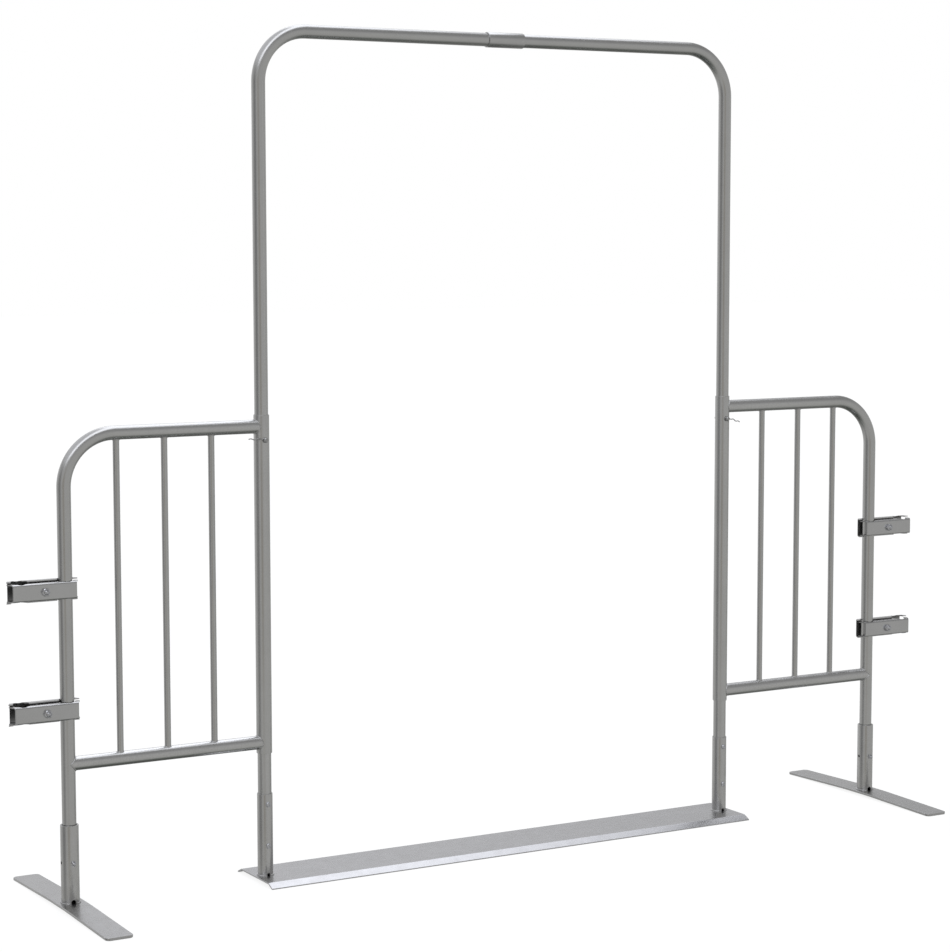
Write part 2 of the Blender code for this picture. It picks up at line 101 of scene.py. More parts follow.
LARGE_SHANK = 0.0050
SMALL_PITCH = 0.0010
LARGE_PITCH = 0.0015
PIN_Z = 0.5 * (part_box("lock_pin_right")[0].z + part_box("lock_pin_right")[1].z)
PIN_RADIUS = 0.0045
PIN_HOLE = 0.0049
PIN_TIP_Y = 0.0310
COLLAR_Y = -0.0191
COLLAR_THICK = 0.0028
COLLAR_RADIUS = 0.0064
NECK_RADIUS = 0.0030
NECK_LENGTH = 0.0040
HEAD_RADIUS = 0.0052
WIRE_RADIUS = 0.0012
WIRE_LOOP_RADIUS = 0.0048
WIRE_REACH = 0.0430
WIRE_WAVE = 0.0013
WIRE_WAVE_LENGTH = 0.0190
WIRE_SET_BACK = 0.0034
WIRE_DROOP = {"left": 0.0, "right": 18.0}
SMALL_HEAD = 0.0042
LARGE_HEAD = 0.0064
BUTTON_HEIGHT = 0.0040
BUTTON_SOCKET = 0.0024          # half the socket's width across flats
BUTTON_RING = 0.0031            # radius of the flat round the socket
BUTTON_THREAD = 0.0090
BOLT_PLAY = 0.0004              # how much wider a hole is than its bolt, in radius
DRILL_REACH = 0.0300
NOTCH_REACH = 0.0080
WELD_LIFT = 0.0006
BASE_WELD_GAP = 0.30            # radians either side of a drain notch
FOOT_WELD_GAP = 0.36

# Fineness of the meshes
TUBE_SEGMENTS = 56
BAR_SEGMENTS = 32
TURNED_SEGMENTS = 60
RIM = 0.0005                    # rounding of a cut tube's rim
RAIL_BEAD = 0.0015              # radius of each kind of weld bead
BAR_BEAD = 0.0011
SOCKET_BEAD = 0.0019


# ---------------------------------------------------------------- materials


def math_node(tree, operation, first, second):
    node = tree.nodes.new("ShaderNodeMath")
    node.operation = operation
    for socket, value in zip(node.inputs, (first, second)):
        if isinstance(value, (int, float)):
            socket.default_value = value
        else:
            tree.links.new(value, socket)
    return node.outputs[0]


def spread(tree, value, low, high, to_low, to_high):
    """Maps value from low..high to to_low..to_high, smoothly and clamped."""
    node = tree.nodes.new("ShaderNodeMapRange")
    node.interpolation_type = "SMOOTHSTEP"
    tree.links.new(value, node.inputs["Value"])
    for name, number in (("From Min", low), ("From Max", high), ("To Min", to_low), ("To Max", to_high)):
        node.inputs[name].default_value = number
    return node.outputs["Result"]


def mix_colour(tree, factor, first, second, blend="MIX"):
    node = tree.nodes.new("ShaderNodeMix")
    node.data_type = "RGBA"
    node.blend_type = blend
    for socket, value in ((node.inputs[0], factor), (node.inputs[6], first), (node.inputs[7], second)):
        if isinstance(value, (int, float, tuple)):
            socket.default_value = value
        else:
            tree.links.new(value, socket)
    return node.outputs[2]


def pattern(tree, vector, scale, detail=3.0, stretch=None, turn=0.0):
    """Noise in object space. A stretch draws it out along one direction, as for scuffs and scratches."""
    if stretch:
        mapping = tree.nodes.new("ShaderNodeMapping")
        mapping.inputs["Scale"].default_value = stretch
        mapping.inputs["Rotation"].default_value = (0.0, 0.0, turn)
        tree.links.new(vector, mapping.inputs["Vector"])
        vector = mapping.outputs["Vector"]
    node = tree.nodes.new("ShaderNodeTexNoise")
    node.inputs["Scale"].default_value = scale
    node.inputs["Detail"].default_value = detail
    node.inputs["Roughness"].default_value = 0.62
    tree.links.new(vector, node.inputs["Vector"])
    return node.outputs["Fac"]


def galvanised(name, dark, light, rough, spangle=0.30, grain=0.07, wear=0.4, low_darkening=0.15, scuffs=0.0):
    """Zinc-coated steel: mottling, crystal spangle, fine grain, worn edges and darker patches near the
    ground.
    """
    material = bpy.data.materials.new(name)
    material.use_nodes = True
    tree = material.node_tree
    shader = tree.nodes["Principled BSDF"]
    shader.inputs["Metallic"].default_value = 1.0
    place = tree.nodes.new("ShaderNodeTexCoord").outputs["Object"]
    clouds = pattern(tree, place, 14.0, 5.0)
    fine = pattern(tree, place, 260.0, 3.0)
    micro = pattern(tree, place, 1500.0, 2.0)
    crystals = tree.nodes.new("ShaderNodeTexVoronoi")
    crystals.inputs["Scale"].default_value = 150.0
    tree.links.new(place, crystals.inputs["Vector"])
    crystal = tree.nodes.new("ShaderNodeRGBToBW")
    tree.links.new(crystals.outputs["Color"], crystal.inputs["Color"])
    tone = math_node(tree, "MULTIPLY", crystal.outputs["Val"], spangle)
    tone = math_node(tree, "ADD", tone, spread(tree, clouds, 0.30, 0.70, 0.0, 1.0 - spangle - 0.2))
    tone = math_node(tree, "ADD", tone, math_node(tree, "MULTIPLY", fine, 0.2))
    colour = mix_colour(tree, tone, dark, light)
    rough_here = spread(tree, pattern(tree, place, 55.0, 4.0), 0.30, 0.70, rough - 0.02, rough + 0.025)
    height = math_node(tree, "MULTIPLY", micro, 0.5)
    height = math_node(tree, "ADD", height, math_node(tree, "MULTIPLY", fine, 0.7))
    height = math_node(tree, "ADD", height, math_node(tree, "MULTIPLY", crystal.outputs["Val"], 0.08))
    if scuffs:
        marks = 0.0
        for turn, size in ((0.35, 9.0), (-0.5, 12.0), (1.45, 15.0)):
            lines = pattern(tree, place, size, 4.0, (1.0, 34.0, 34.0), turn)
            marks = math_node(tree, "ADD", marks, spread(tree, lines, 0.60, 0.72, 0.0, 1.0))
        marks = math_node(tree, "MULTIPLY", marks, scuffs)
        colour = mix_colour(tree, marks, colour, (0.80, 0.80, 0.81, 1.0))
        rough_here = math_node(tree, "SUBTRACT", rough_here, math_node(tree, "MULTIPLY", marks, 0.16))
        height = math_node(tree, "SUBTRACT", height, math_node(tree, "MULTIPLY", marks, 0.8))
    if wear:
        edges = tree.nodes.new("ShaderNodeNewGeometry").outputs["Pointiness"]
        edges = spread(tree, edges, 0.515, 0.60, 0.0, wear)
        edges = math_node(tree, "MULTIPLY", edges, spread(tree, fine, 0.35, 0.6, 0.25, 1.0))
        colour = mix_colour(tree, edges, colour, (0.86, 0.86, 0.87, 1.0))
        rough_here = math_node(tree, "SUBTRACT", rough_here, math_node(tree, "MULTIPLY", edges, 0.12))
    # Darker, rougher patches towards the bottom, fading out by 0.22 m up in object space
    if low_darkening:
        split = tree.nodes.new("ShaderNodeSeparateXYZ")
        tree.links.new(place, split.inputs["Vector"])
        low = spread(tree, split.outputs["Z"], 0.0, 0.22, low_darkening, 0.0)
        patches = pattern(tree, place, 38.0, 3.0)
        low = math_node(tree, "MULTIPLY", low, spread(tree, patches, 0.35, 0.68, 0.0, 1.0))
        colour = mix_colour(tree, low, colour, (0.27, 0.255, 0.235, 1.0))
        rough_here = math_node(tree, "ADD", rough_here, math_node(tree, "MULTIPLY", low, 0.25))
    bump = tree.nodes.new("ShaderNodeBump")
    bump.inputs["Strength"].default_value = grain
    bump.inputs["Distance"].default_value = 0.00025
    tree.links.new(height, bump.inputs["Height"])
    tree.links.new(colour, shader.inputs["Base Color"])
    tree.links.new(rough_here, shader.inputs["Roughness"])
    tree.links.new(bump.outputs["Normal"], shader.inputs["Normal"])
    return material


TUBE_STEEL = galvanised(
    "galvanised_tube", (0.55, 0.55, 0.545, 1), (0.59, 0.59, 0.585, 1),
    rough=0.25, spangle=0.15, grain=0.018, wear=0.2,
)
BAR_STEEL = galvanised(
    "galvanised_bar", (0.55, 0.55, 0.545, 1), (0.59, 0.59, 0.585, 1),
    rough=0.25, spangle=0.15, grain=0.018, wear=0.0,
)
SHEET_STEEL = galvanised(
    "galvanised_sheet", (0.54, 0.54, 0.55, 1), (0.58, 0.58, 0.59, 1),
    rough=0.26, spangle=0.2, grain=0.015, wear=0.0, low_darkening=0.08, scuffs=0.03,
)
FOOT_STEEL = galvanised(
    "galvanised_foot", (0.49, 0.49, 0.49, 1), (0.53, 0.53, 0.53, 1),
    rough=0.27, spangle=0.2, grain=0.015, wear=0.0, low_darkening=0.08, scuffs=0.03,
)
BRACKET_STEEL = galvanised(
    "bracket_steel", (0.55, 0.55, 0.55, 1), (0.59, 0.59, 0.59, 1),
    rough=0.24, spangle=0.2, grain=0.018, wear=0.0, scuffs=0.03,
)
# A darker copy of the bracket steel for the faces inside the channels: painted shade in the bracket's hollow.
BRACKET_PAINTED_SHADE = galvanised(
    "bracket_painted_shade", (0.19, 0.19, 0.19, 1), (0.30, 0.30, 0.30, 1),
    rough=0.38, spangle=0.25, grain=0.05, wear=0.0, low_darkening=0.2,
)
ZINC = galvanised(
    "bright_zinc", (0.54, 0.545, 0.57, 1), (0.62, 0.625, 0.65, 1),
    rough=0.12, spangle=0.1, grain=0.01, wear=0.0, low_darkening=0.1,
)
PIN_STEEL = galvanised(
    "pin_steel", (0.34, 0.34, 0.34, 1), (0.44, 0.44, 0.44, 1),
    rough=0.24, spangle=0.15, grain=0.1, wear=0.6, low_darkening=0.0,
)
BEAD_STEEL = galvanised(
    "weld_bead", (0.50, 0.50, 0.50, 1), (0.62, 0.62, 0.615, 1),
    rough=0.34, spangle=0.1, grain=0.2, wear=0.3, low_darkening=0.2,
)


# ---------------------------------------------------------------- mesh tools


def circle(centre, side, normal, radius, count):
    turn = 2.0 * math.pi / count
    return [
        centre + radius * (math.cos(turn * i) * side + math.sin(turn * i) * normal)
        for i in range(count)
    ]


def skin(rings, closed=False, start_cap=False, end_cap=False):
    """Points and faces over rings of equal length. A cap is a fan onto the ring's middle."""
    count = len(rings[0])
    points = [p for ring in rings for p in ring]
    faces = []
    rows = len(rings)
    for row in range(rows if closed else rows - 1):
        a = row * count
        b = ((row + 1) % rows) * count
        for i in range(count):
            j = (i + 1) % count
            faces.append((a + i, a + j, b + j, b + i))
    for wanted, row in ((start_cap, 0), (end_cap, rows - 1)):
        if wanted:
            middle = sum(rings[row], Vector()) / count
            tip = len(points)
            points.append(middle)
            faces += [(row * count + i, row * count + (i + 1) % count, tip) for i in range(count)]
    return points, faces


def new_mesh_object(name, points, faces):
    mesh = bpy.data.meshes.new(name)
    mesh.from_pydata([tuple(p) for p in points], [], faces)
    shell = bmesh.new()
    shell.from_mesh(mesh)
    bmesh.ops.recalc_face_normals(shell, faces=shell.faces)
    shell.to_mesh(mesh)
    shell.free()
    obj = bpy.data.objects.new(name, mesh)
    bpy.context.scene.collection.objects.link(obj)
    return obj


def settle(obj, tools=()):
    """Applies the object's modifiers to its mesh and removes the cutters."""
    bpy.context.view_layer.update()
    graph = bpy.context.evaluated_depsgraph_get()
    mesh = bpy.data.meshes.new_from_object(obj.evaluated_get(graph))
    obj.modifiers.clear()
    obj.data = mesh
    for tool in tools:
        bpy.data.objects.remove(tool, do_unlink=True)


def finish_piece(obj, material, body=FRAME_BODY, nodes=(), sharp=32.0, flat_faced=False):
    """Smooth shading, the material, the body it rides on, and the nodes it stands for."""
    obj.data.materials.clear()
    obj.data.materials.append(material)
    obj.data.shade_smooth()
    obj.data.set_sharp_from_angle(angle=math.radians(sharp))
    if flat_faced:
        modifier = obj.modifiers.new("normals", "WEIGHTED_NORMAL")
        modifier.mode = "FACE_AREA"
        modifier.weight = 100
        modifier.keep_sharp = True
        settle(obj)
    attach(obj, body)
    if nodes:
        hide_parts(*nodes)
    return obj


def cutter(points, faces):
    return new_mesh_object("cutter", points, faces)


def drill(centre, axis, radius, half_length, count=40):
    side = Z_AXIS if abs(axis.z) < 0.5 else X_AXIS
    normal = axis.cross(side)
    rings = [circle(centre + way * half_length * axis, side, normal, radius, count) for way in (-1.0, 1.0)]
    return cutter(*skin(rings, start_cap=True, end_cap=True))


def bolt_holes(side, leg_x):
    """Cutters for the base bolts' holes in a leg or its socket."""
    tools = []
    for level in LEVELS:
        low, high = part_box(f"base_bolt_{level}_{side}")
        centre = Vector((leg_x, 0.0, 0.5 * (low.z + high.z)))
        tools.append(drill(centre, Y_AXIS, SMALL_SHANK + BOLT_PLAY, DRILL_REACH))
    return tools


def pin_hole(leg_x):
    return drill(Vector((leg_x, 0.0, PIN_Z)), Y_AXIS, PIN_HOLE, DRILL_REACH)


def cut(obj, tools, operation="DIFFERENCE"):
    for tool in tools:
        modifier = obj.modifiers.new("cut", "BOOLEAN")
        modifier.operation = operation
        modifier.solver = "EXACT"
        modifier.object = tool
    settle(obj, tools)


def bevel(obj, width, segments=2, angle=38.0):
    modifier = obj.modifiers.new("edges", "BEVEL")
    modifier.width = width
    modifier.segments = segments
    modifier.limit_method = "ANGLE"
    modifier.angle_limit = math.radians(angle)
    modifier.use_clamp_overlap = True
    settle(obj)


# ---------------------------------------------------------------- tubes


def straight(start, end, steps=2):
    """Stations (centre, tangent) along a line."""
    along = (end - start).normalized()
    return [(start.lerp(end, i / (steps - 1)), along) for i in range(steps)]


def bent_path(x, bottom, top, inwards, end_x):
    """Up from (x, bottom), round one corner, then along X at height top as far as end_x."""
    stations = [(Vector((x, 0.0, bottom)), Z_AXIS.copy())]
    centre = Vector((x + inwards * BEND_RADIUS, 0.0, top - BEND_RADIUS))
    for step in range(BEND_STEPS + 1):
        angle = 0.5 * math.pi * step / BEND_STEPS
        out = Vector((-inwards * math.cos(angle), 0.0, math.sin(angle)))
        ahead = Vector((inwards * math.sin(angle), 0.0, math.cos(angle)))
        stations.append((centre + BEND_RADIUS * out, ahead))
    stations.append((Vector((end_x, 0.0, top)), X_AXIS * inwards))
    return stations


def cope(post_x, radius, towards):
    """Moves a horizontal tube's end points along X onto an upright cylinder about post_x."""
    def moved(point):
        reach = math.sqrt(max(radius * radius - point.y * point.y, 0.0))
        return Vector((post_x - towards * reach, point.y, point.z))
    return moved


def tube_skin(stations, radius, wall, start=None, end=None, count=TUBE_SEGMENTS):
    """A hollow tube in a plane of constant Y, with rounded rims where an end isn't coped."""
    def ring(centre, tangent, size):
        return circle(centre, Y_AXIS, tangent.cross(Y_AXIS), size, count)

    first, last = stations[0], stations[-1]
    easing = [(1.0 - math.sin(a), 1.0 - math.cos(a)) for a in (1.5708, 1.1781, 0.7854, 0.3927, 0.0)]
    outer = []
    if start:
        outer.append([start(p) for p in ring(*first, radius)])
    else:
        outer += [
            ring(first[0] + first[1] * RIM * back, first[1], radius - RIM * thin) for back, thin in easing
        ]
    outer += [ring(*station, radius) for station in stations[1:-1]]
    if end:
        outer.append([end(p) for p in ring(*last, radius)])
    else:
        turned = reversed(easing)
        outer += [ring(last[0] - last[1] * RIM * back, last[1], radius - RIM * thin) for back, thin in turned]
    inner = [ring(*station, radius - wall) for station in reversed(stations)]
    if end:
        inner[0] = [end(p) for p in inner[0]]
    if start:
        inner[-1] = [start(p) for p in inner[-1]]
    return skin(outer + inner, closed=True)


def tube(name, stations, radius, wall, node, start=None, end=None, tools=(), material=TUBE_STEEL):
    obj = new_mesh_object(name, *tube_skin(stations, radius, wall, start, end))
    if tools:
        cut(obj, tools)
    return finish_piece(obj, material, nodes=(node,))


def bead(name, line, radius, ripples, seed, gap=0.0, material=BEAD_STEEL):
    """A rippled weld bead along line(angle). A gap, in radians about the -Y side, leaves it open there."""
    steps = 6 * ripples
    rings = []
    start = -0.5 * math.pi + gap
    sweep = 2.0 * math.pi - 2.0 * gap
    count = steps if not gap else steps + 1
    for i in range(count):
        share = i / steps
        here = start + sweep * share
        centre = line(here)
        tangent = (line(here + 0.01) - line(here - 0.01)).normalized()
        side = tangent.orthogonal().normalized()
        if abs(tangent.z) < 0.9:
            side = (Z_AXIS - tangent * tangent.z).normalized()
        lump = noise.noise(Vector((4.0 * math.cos(here), 4.0 * math.sin(here), 7.3 * seed)))
        ripple = abs(math.sin(0.5 * ripples * sweep * share))
        size = radius * (0.90 + 0.16 * ripple + 0.22 * lump)
        if gap:
            size *= min(1.0, 0.35 + 9.0 * min(share, 1.0 - share))
        rings.append(circle(centre, side, tangent.cross(side), size, 12))
    obj = new_mesh_object(name, *skin(rings, closed=not gap, start_cap=bool(gap), end_cap=bool(gap)))
    return finish_piece(obj, material, sharp=70.0)


def rail_bead(name, post_x, post_radius, towards, rail_z, seed):
    """Round a horizontal tube's coped end, on an upright of post_radius."""
    def line(angle):
        y = TUBE_RADIUS * math.sin(angle)
        z = rail_z + TUBE_RADIUS * math.cos(angle)
        reach = math.sqrt(max(post_radius * post_radius - y * y, 0.0))
        return Vector((post_x - towards * (reach + 0.3 * RAIL_BEAD), y, z))
    bead(name, line, RAIL_BEAD, 40, seed)


def bar_bead(name, x, rail_z, way, radius, seed):
    """Round an upright bar's end, on a horizontal tube."""
    def line(angle):
        y = (radius + 0.0002) * math.sin(angle)
        reach = math.sqrt(TUBE_RADIUS * TUBE_RADIUS - y * y)
        return Vector((x + (radius + 0.0002) * math.cos(angle), y, rail_z + way * (reach + 0.2 * BAR_BEAD)))
    bead(name, line, BAR_BEAD, 22, seed)


def socket_bead(name, x, radius, z, gap, seed):
    """Round an upright socket's foot on a plate, open at the drain notch."""
    def line(angle):
        return Vector((x + radius * math.cos(angle), radius * math.sin(angle), z))
    bead(name, line, SOCKET_BEAD, 44, seed, gap)


# ---------------------------------------------------------------- turned and hexagonal pieces


def turned_rings(centre, rows, count=TURNED_SEGMENTS):
    """Rings about Y from rows of (radius, y). Either may be a function of the angle."""
    rings = []
    for radius, y in rows:
        ring = []
        for i in range(count):
            angle = 2.0 * math.pi * i / count
            r = radius(angle) if callable(radius) else radius
            level = y(angle) if callable(y) else y
            ring.append(centre + Vector((r * math.cos(angle), level, r * math.sin(angle))))
        rings.append(ring)
    return rings


def hex_radius(flat):
    def radius(angle):
        return flat / math.cos((angle % (math.pi / 3.0)) - math.pi / 6.0)
    return radius


def rounding(flat, radius):
    """How far a hexagon's rounded face has dropped at a radius from its axis."""
    share = max(0.0, radius / flat - 0.58) / 0.60
    return 0.42 * flat * (1.0 - math.sqrt(1.0 - min(share, 0.97) ** 2))


def hex_side(flat, face, outwards):
    """Level of a hexagon's edge, on the rounded face that looks along outwards."""
    corner = hex_radius(flat)
    def level(angle):
        return face - outwards * rounding(flat, corner(angle))
    return level


def thread_rows(shank, pitch, start, end):
    """Rows of a screw thread from start to end along Y, with a domed tip."""
    way = 1.0 if end > start else -1.0
    length = abs(end - start)
    steps = max(int(length / pitch * 10.0), 4)
    rows = []
    for step in range(steps + 1):
        along = length * step / steps
        run_out = min(1.0, along / pitch) * min(1.0, (length - along) / (0.8 * pitch) + 0.15)
        inwards = max(0.0, 1.0 - (length - along) / (0.7 * shank))
        dome = 0.92 * shank * (1.0 - math.sqrt(1.0 - inwards * inwards))

        def radius(angle, along=along, run_out=run_out, dome=dome):
            phase = (along / pitch - angle / (2.0 * math.pi)) % 1.0
            groove = 0.5 - 0.5 * math.cos(2.0 * math.pi * phase)
            return shank - 0.55 * pitch * groove * run_out - dome
        rows.append((radius, start + way * along))
    return rows


def hex_bolt(name, node, body, shank, pitch):
    low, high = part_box(node)
    centre = Vector((0.5 * (low.x + high.x), 0.0, 0.5 * (low.z + high.z)))
    flat = 0.5 * (high.z - low.z)
    height = SMALL_HEAD if shank == SMALL_SHANK else LARGE_HEAD
    outer, bearing = high.y, high.y - height
    corner = hex_radius(flat)
    rows = [
        (0.55 * flat, outer - 0.0002),
        (0.60 * flat, outer),
        (0.75 * flat, outer - rounding(flat, 0.75 * flat)),
        (0.90 * flat, outer - rounding(flat, 0.90 * flat)),
        (corner, hex_side(flat, outer, 1.0)),
        (corner, bearing + 0.0003),
        (0.97 * flat, bearing),
        (shank, bearing),
        (shank, low.y + 3.2 * height),
    ]
    rows += thread_rows(shank, pitch, low.y + 3.2 * height, low.y)
    obj = new_mesh_object(name, *skin(turned_rings(centre, rows), start_cap=True, end_cap=True))
    finish_piece(obj, ZINC, body, (node,), flat_faced=True)


def hex_nut(name, node, body, shank, outwards):
    low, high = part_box(node)
    centre = Vector((0.5 * (low.x + high.x), 0.0, 0.5 * (low.z + high.z)))
    flat = 0.5 * (high.z - low.z)
    near, far = (high.y, low.y) if outwards < 0.0 else (low.y, high.y)
    corner = hex_radius(flat)
    bore = shank + 0.0003
    lead = 0.0006
    rows = [
        (0.97 * flat, near),
        (corner, near + outwards * 0.0004),
        (corner, hex_side(flat, far, outwards)),
        (0.98 * flat, far - outwards * rounding(flat, 0.98 * flat)),
        (0.87 * flat, far - outwards * rounding(flat, 0.87 * flat)),
        (0.76 * flat, far - outwards * rounding(flat, 0.76 * flat)),
        (bore + lead, far),
        (bore, far - outwards * lead),
        (bore, near + outwards * lead),
        (bore + lead, near),
    ]
    obj = new_mesh_object(name, *skin(turned_rings(centre, rows), closed=True))
    finish_piece(obj, ZINC, body, (node,), flat_faced=True)


def button_bolt(name, node):
    """A domed head with a hexagon socket, and a threaded end behind."""
    low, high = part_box(node)
    centre = Vector((0.5 * (low.x + high.x), 0.0, 0.5 * (low.z + high.z)))
    radius = 0.5 * (high.x - low.x)
    bearing = low.y + BUTTON_HEIGHT
    socket = hex_radius(BUTTON_SOCKET)
    rows = [(0.0008, low.y + 0.0024), (socket, low.y + 0.0021), (socket, low.y + 0.0002)]
    rows.append((BUTTON_RING, low.y))
    for step in range(1, 9):
        angle = 0.5 * math.pi * step / 8
        across = BUTTON_RING + (radius - BUTTON_RING) * math.sin(angle)
        rows.append((across, bearing - 0.0004 - (BUTTON_HEIGHT - 0.0004) * math.cos(angle)))
    rows += [(radius - 0.0002, bearing - 0.0001), (radius - 0.0006, bearing), (SMALL_SHANK, bearing)]
    rows.append((SMALL_SHANK, high.y - BUTTON_THREAD))
    rows += thread_rows(SMALL_SHANK, SMALL_PITCH, high.y - BUTTON_THREAD, high.y)
    obj = new_mesh_object(name, *skin(turned_rings(centre, rows), start_cap=True, end_cap=True))
    finish_piece(obj, ZINC, nodes=(node,))


def rounded(corners, radius=0.0004):
    """A turned profile with its inner corners replaced by short arcs of two points."""
    rows = [corners[0]]
    for before, here, after in zip(corners, corners[1:], corners[2:]):
        p, q, r = Vector(before), Vector(here), Vector(after)
        for other, weight in ((p, 1.0), (p, 0.35), (r, 0.35), (r, 1.0)):
            step = (other - q)
            rows.append(tuple(q + step.normalized() * min(radius * weight, 0.45 * step.length)))
    rows.append(corners[-1])
    return rows


def lock_pin(side, x):
    neck = COLLAR_Y - COLLAR_THICK
    head = neck - NECK_LENGTH
    corners = [
        (0.0010, PIN_TIP_Y),
        (0.0022, PIN_TIP_Y),
        (PIN_RADIUS, PIN_TIP_Y - 0.0040),
        (PIN_RADIUS, COLLAR_Y),
        (COLLAR_RADIUS, COLLAR_Y),
        (COLLAR_RADIUS, neck),
        (NECK_RADIUS, neck),
        (NECK_RADIUS, head),
        (HEAD_RADIUS, head),
        (HEAD_RADIUS, head - 0.0012),
        (0.0040, head - 0.0024),
        (0.0010, head - 0.0024),
    ]
    node = f"lock_pin_{side}"
    rings = turned_rings(Vector((x, 0.0, PIN_Z)), rounded(corners), 48)
    obj = new_mesh_object(f"pin_{side}", *skin(rings, start_cap=True, end_cap=True))
    finish_piece(obj, PIN_STEEL, node, (node,))


def lock_handle(side, x, way):
    """A wire looped round the pin's neck, with a wavy arm and rounded ends."""
    loop_y = COLLAR_Y - COLLAR_THICK - 0.5 * NECK_LENGTH
    path = []
    for step in range(55):
        angle = math.radians(-180.0 + 5.0 * step)
        path.append((-WIRE_LOOP_RADIUS * math.cos(angle), 0.0, WIRE_LOOP_RADIUS * math.sin(angle)))
    steps = 84
    for step in range(1, steps + 1):
        along = WIRE_REACH * step / steps
        wave = WIRE_WAVE * (math.cos(2.0 * math.pi * along / WIRE_WAVE_LENGTH) - 1.0)
        path.append((along, WIRE_SET_BACK * (along / WIRE_REACH) ** 2, WIRE_LOOP_RADIUS + wave))
    lean = math.radians(WIRE_DROOP[side])
    line = []
    for along, back, up in path:
        out = along * math.cos(lean) + up * math.sin(lean)
        rise = up * math.cos(lean) - along * math.sin(lean)
        line.append(Vector((x + way * out, loop_y + back, PIN_Z + rise)))
    rings = []
    last = len(line) - 1
    for index, centre in enumerate(line):
        tangent = (line[min(index + 1, last)] - line[max(index - 1, 0)]).normalized()
        across = (Y_AXIS - tangent * tangent.y).normalized()
        size = WIRE_RADIUS * (0.72 if index in (0, last) else 1.0)
        rings.append(circle(centre, across, tangent.cross(across), size, 14))
    node = f"lock_handle_{side}"
    obj = new_mesh_object(f"wire_{side}", *skin(rings, start_cap=True, end_cap=True))
    finish_piece(obj, PIN_STEEL, node, (node,))


# ---------------------------------------------------------------- plates


def arc(centre, radius, start, end, steps):
    return [
        (centre[0] + radius * math.cos(a), centre[1] + radius * math.sin(a))
        for a in (start + (end - start) * i / steps for i in range(steps + 1))
    ]


def threshold_plate():
    """The folded sheet across the doorway, with rounded folds and softened cut ends."""
    low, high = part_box("threshold_plate")
    rise, lip = high.z, high.y
    slope = math.atan2(rise - PLATE_EDGE, lip - PLATE_FLAT_Y)
    tangent = PLATE_FOLD * math.tan(0.5 * slope)
    middle = (PLATE_FLAT_Y - tangent, rise - PLATE_FOLD)
    top = [(lip, 0.0), (lip, PLATE_EDGE - 0.0002), (lip - 0.0002, PLATE_EDGE + 0.00008)]
    top += arc(middle, PLATE_FOLD, 0.5 * math.pi - slope, 0.5 * math.pi, 6)
    under = arc(middle, PLATE_FOLD - PLATE_SHEET, 0.5 * math.pi, 0.5 * math.pi - slope, 6)
    under.append((lip + PLATE_EDGE / math.tan(slope) - PLATE_SHEET / math.sin(slope), 0.0))
    outline = top + [(-y, z) for y, z in reversed(top)]
    outline += [(-y, z) for y, z in reversed(under)] + under
    rings = [(low.x, 0.00035), (low.x + 0.0002, 0.0001), (low.x + 0.0006, 0.0)]
    rings += [(low.x + (high.x - low.x) * i / 40.0, 0.0) for i in range(1, 40)]
    rings += [(high.x - 0.0006, 0.0), (high.x - 0.0002, 0.0001), (high.x, 0.00035)]
    loops = []
    for x, inset in rings:
        loop = []
        for y, z in outline:
            core = max(z - 0.5 * PLATE_SHEET, 0.5 * PLATE_SHEET) if z > PLATE_SHEET else z
            loop.append(Vector((x, y, z + inset * (core - z) / PLATE_SHEET)))
        loops.append(loop)
    points = [p for loop in loops for p in loop]
    count = len(outline)
    faces = []
    for row in range(len(loops) - 1):
        for i in range(count):
            j = (i + 1) % count
            faces.append((row * count + i, row * count + j, (row + 1) * count + j, (row + 1) * count + i))
    for row in (0, len(loops) - 1):
        faces.append(tuple(row * count + i for i in range(count)))
    obj = new_mesh_object("threshold_sheet", points, faces)
    nodes = ("threshold_plate",)
    finish_piece(obj, SHEET_STEEL, nodes=nodes, sharp=40.0, flat_faced=True)


def foot_height(y):
    """Height of a foot's top, with the bends beside the raised flat eased."""
    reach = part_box("foot_plate_right")[1].y
    away = max(abs(y) - FOOT_FLAT_Y, 0.0)
    ease = 0.020
    slope = (FOOT_TOP_Z - FOOT_SHEET) / (reach - FOOT_FLAT_Y)
    if away < ease:
        return FOOT_TOP_Z - slope * away * away / (2.0 * ease)
    beyond = (away - ease) / (reach - FOOT_FLAT_Y - ease)
    return FOOT_TOP_Z - slope * (away - 0.5 * ease) - slope * 0.5 * ease * beyond


def foot_plate(side, sign):
    node = f"foot_plate_{side}"
    low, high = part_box(node)
    x = sign * POST_X
    half_x = 0.5 * (high.x - low.x)
    reach = high.y
    fillet = 0.0010
    ends = []
    for step in range(13):
        angle = 0.5 * math.pi * step / 12
        back = FOOT_CORNER * (1.0 - math.sin(angle))
        ends.append((reach - back, half_x - FOOT_CORNER * (1.0 - math.cos(angle)), 0.0))
    ends.append((reach, half_x - FOOT_CORNER - 0.0015, 0.3 * fillet))
    inner = [(i / 24.0 * (reach - FOOT_CORNER), half_x, 0.0) for i in range(25)]
    stations = [(-y, w, f) for y, w, f in reversed(ends)]
    stations += [(-y, w, f) for y, w, f in reversed(inner[1:-1])] + inner[:-1] + ends
    loops = []
    for y, w, shrink in stations:
        top = foot_height(y)
        corners = []
        for sx, sz, start in ((1, 1, 0.0), (-1, 1, 0.5), (-1, -1, 1.0), (1, -1, 1.5)):
            for k in range(4):
                angle = math.pi * (start + 0.5 * k / 3.0)
                px = sx * (w - fillet) + fillet * math.cos(angle)
                pz = sz * (0.5 * FOOT_SHEET - fillet - shrink) + fillet * math.sin(angle)
                corners.append(Vector((x + px, y, top - 0.5 * FOOT_SHEET + pz)))
        loops.append(corners)
    obj = new_mesh_object(f"foot_bar_{side}", *skin(loops, start_cap=True, end_cap=True))
    finish_piece(obj, FOOT_STEEL, nodes=(node,), flat_faced=True)


# ---------------------------------------------------------------- brackets


